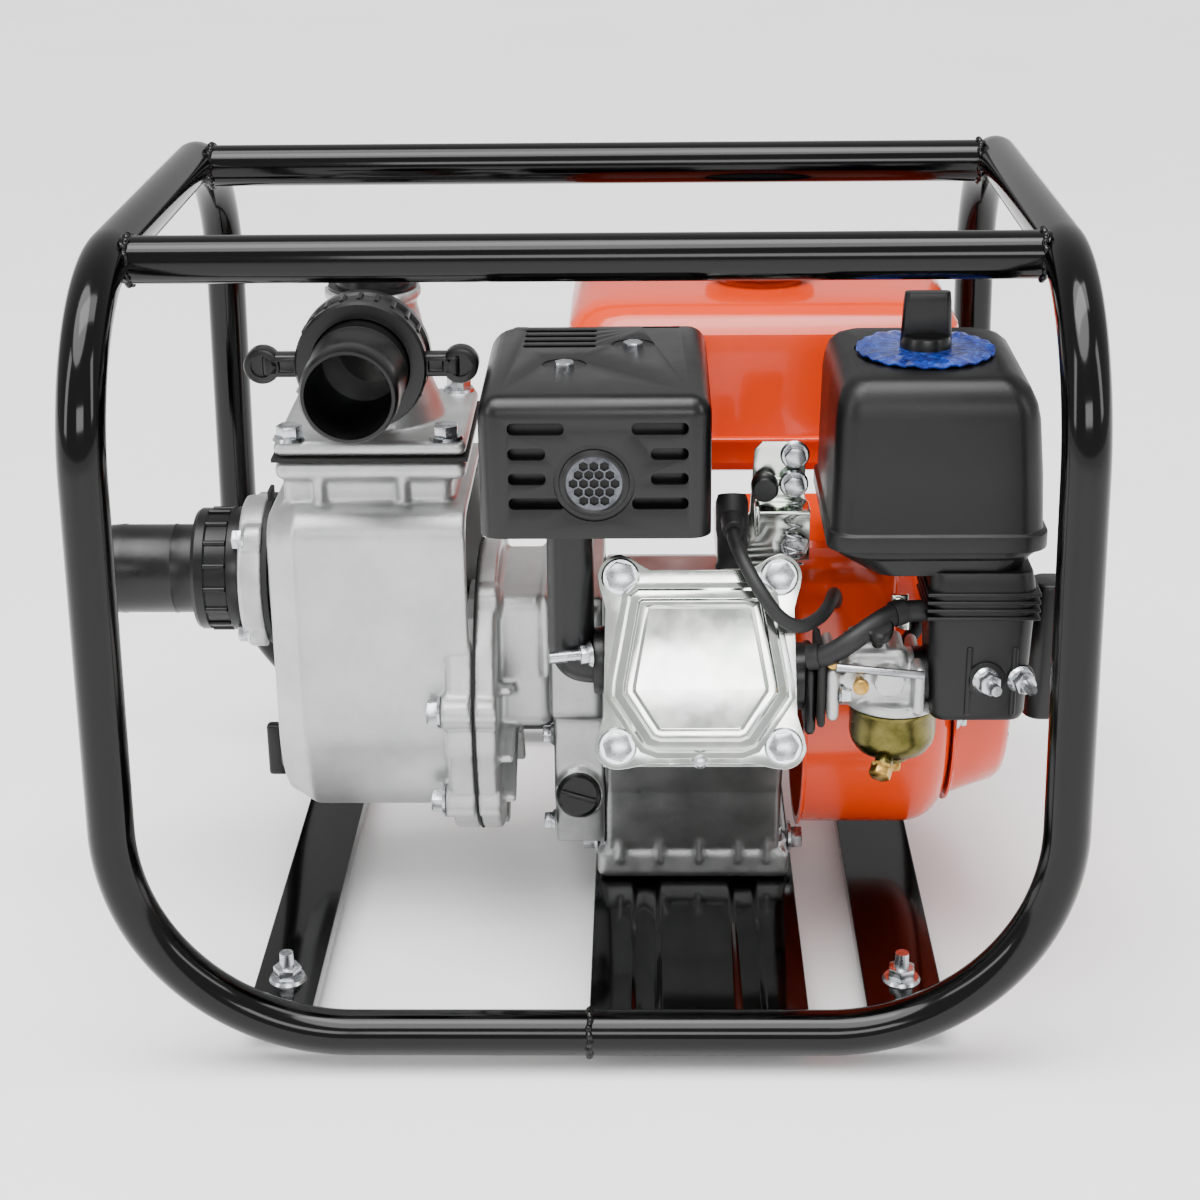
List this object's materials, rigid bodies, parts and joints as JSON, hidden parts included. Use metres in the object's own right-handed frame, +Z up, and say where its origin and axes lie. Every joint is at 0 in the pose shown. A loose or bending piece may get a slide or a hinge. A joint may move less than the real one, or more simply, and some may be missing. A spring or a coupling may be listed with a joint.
{
  "type": "portable fire pump",
  "caption": "Engine-driven centrifugal water pump in a tubular carrying frame, with suction and delivery hose tails, for portable fire-fighting and transfer work.",
  "frame": {"origin": "centre of the whole machine's box, on the ground under the rubber feet", "axes": "+X from the suction side towards the recoil starter, +Y from the muffler and air cleaner towards the fuel tank, +Z up"},
  "size_m": [0.5202, 0.4096, 0.4107],
  "materials": {
    "black_paint": "gloss black paint",
    "black_rubber": "moulded rubber",
    "black_plastic": "moulded black plastic, fine grain",
    "cast_aluminium": "shot-blasted die casting",
    "engine_aluminium": "as-cast aluminium",
    "bright_zinc": "bright zinc plate",
    "steel": "machined steel",
    "orange_enamel": "gloss orange enamel",
    "heat_black": "satin heat-resistant black",
    "olive_zinc": "olive zinc-chromate plate",
    "filter_foam": "filter foam and paper",
    "white_ceramic": "glazed ceramic with plated shell"
  },
  "bodies": {
    "machine": {"air_cleaner_base": "black_plastic", "air_cleaner_cover": "black_plastic", "air_filter": "filter_foam", "breather_hose": "black_rubber", "carburettor": "cast_aluminium", "control_bracket": "bright_zinc", "crankcase": "engine_aluminium", "crankcase_cover": "engine_aluminium", "cross_member_left": "black_paint", "cross_member_right": "black_paint", "cylinder_head": "engine_aluminium", "engine_plate": "black_paint", "engine_switch": "black_plastic", "fan_shroud": "orange_enamel", "float_bowl": "olive_zinc", "frame_hoop_left": "black_paint", "frame_hoop_right": "black_paint", "fuel_hose": "black_rubber", "fuel_tank": "orange_enamel", "ignition_lead": "black_rubber", "insulator_block": "black_plastic", "muffler": "heat_black", "muffler_guard": "heat_black", "outlet_elbow": "cast_aluminium", "outlet_hose_tail": "black_plastic", "pump_adapter": "cast_aluminium", "pump_casing": "cast_aluminium", "recoil_cover": "orange_enamel", "rubber_foot_front_left": "black_rubber", "rubber_foot_front_right": "black_rubber", "rubber_foot_rear_left": "black_rubber", "rubber_foot_rear_right": "black_rubber", "shaft_seal": "black_rubber", "spark_arrestor": "steel", "spark_plug": "white_ceramic", "spark_plug_cap": "black_rubber", "suction_flange": "cast_aluminium", "suction_hose_tail": "black_plastic", "top_rail_front": "black_paint", "top_rail_rear": "black_paint", "valve_cover": "bright_zinc", "volute": "cast_aluminium"},
    "crank_group": {"crankshaft": "steel", "flywheel_fan": "cast_aluminium", "impeller": "cast_aluminium"},
    "piston": {"piston": "engine_aluminium"},
    "starter_grip": {"starter_grip": "black_plastic"},
    "recoil_pulley": {"recoil_pulley": "black_plastic"},
    "fuel_cap": {"fuel_cap": "black_plastic"},
    "priming_plug": {"priming_plug": "black_plastic"},
    "pump_drain_plug": {"pump_drain_plug": "black_plastic"},
    "oil_filler_plug": {"oil_filler_plug": "black_plastic"},
    "outlet_coupling_nut": {"outlet_coupling_nut": "black_plastic"},
    "suction_coupling_nut": {"suction_coupling_nut": "black_plastic"},
    "air_cleaner_knob": {"air_cleaner_knob": "black_plastic"},
    "throttle_lever": {"throttle_lever": "black_plastic"},
    "choke_lever": {"choke_lever": "bright_zinc"},
    "fuel_valve_lever": {"fuel_valve_lever": "black_plastic"},
    "switch_knob": {"switch_knob": "orange_enamel"},
    "suction_flapper": {"suction_flapper": "black_rubber"}
  },
  "joints": [
    {"name": "crank_spin", "type": "hinge", "parent": "machine", "child": "crank_group", "pos_m": [0.01035, 0, 0.1267], "axis": [1, 0, 0], "continuous": true},
    {"name": "piston_stroke", "type": "slide", "parent": "machine", "child": "piston", "axis": [0, 0.9063, -0.4226], "range_m": [0, 0.045]},
    {"name": "starter_pull", "type": "slide", "parent": "machine", "child": "starter_grip", "axis": [0, -1, 0], "range_m": [0, 0.035]},
    {"name": "pulley_turn", "type": "hinge", "parent": "machine", "child": "recoil_pulley", "pos_m": [0.01035, 0, 0.1267], "axis": [1, 0, 0], "range_deg": [0, 60]},
    {"name": "fuel_cap_turn", "type": "hinge", "parent": "machine", "child": "fuel_cap", "pos_m": [0.10435, 0.1, 0.345], "axis": [0, 0, 1], "range_deg": [0, 90]},
    {"name": "priming_plug_turn", "type": "hinge", "parent": "machine", "child": "priming_plug", "pos_m": [-0.10465, 0, 0.356], "axis": [0, 0, 1], "range_deg": [0, 360]},
    {"name": "drain_plug_turn", "type": "hinge", "parent": "machine", "child": "pump_drain_plug", "pos_m": [-0.16345, -0.005, 0.088], "axis": [1, 0, 0], "range_deg": [0, 360]},
    {"name": "oil_plug_turn", "type": "hinge", "parent": "machine", "child": "oil_filler_plug", "pos_m": [0.00185, -0.0544, 0.0828], "axis": [0, -0.9404, 0.3401], "range_deg": [0, 360]},
    {"name": "outlet_nut_turn", "type": "hinge", "parent": "machine", "child": "outlet_coupling_nut", "pos_m": [-0.10465, -0.054, 0.33], "axis": [0, 1, 0], "range_deg": [0, 180]},
    {"name": "suction_nut_turn", "type": "hinge", "parent": "machine", "child": "suction_coupling_nut", "pos_m": [-0.19465, 0, 0.196], "axis": [1, 0, 0], "range_deg": [0, 360]},
    {"name": "cleaner_knob_turn", "type": "hinge", "parent": "machine", "child": "air_cleaner_knob", "pos_m": [0.17585, -0.096, 0.3453], "axis": [0, 0, 1], "range_deg": [0, 360]},
    {"name": "throttle_swing", "type": "hinge", "parent": "machine", "child": "throttle_lever", "pos_m": [0.11435, -0.0746, 0.271], "axis": [0, 1, 0], "range_deg": [0, 35]},
    {"name": "choke_swing", "type": "hinge", "parent": "machine", "child": "choke_lever", "pos_m": [0.16835, -0.126, 0.2123], "axis": [0, 0, 1], "range_deg": [0, 45]},
    {"name": "fuel_valve_swing", "type": "hinge", "parent": "machine", "child": "fuel_valve_lever", "pos_m": [0.18035, -0.102, 0.18], "axis": [1, 0, 0], "range_deg": [0, 80]},
    {"name": "switch_turn", "type": "hinge", "parent": "machine", "child": "switch_knob", "pos_m": [0.17835, -0.006, 0.22], "axis": [1, 0, 0], "range_deg": [0, 90]},
    {"name": "flapper_swing", "type": "hinge", "parent": "machine", "child": "suction_flapper", "pos_m": [-0.16595, 0, 0.221], "axis": [0, -1, 0], "range_deg": [0, 40]}
  ],
  "couplings": [
    {"joint": "pulley_turn", "follows": "starter_pull", "rad_per_m": 22.727}
  ]
}
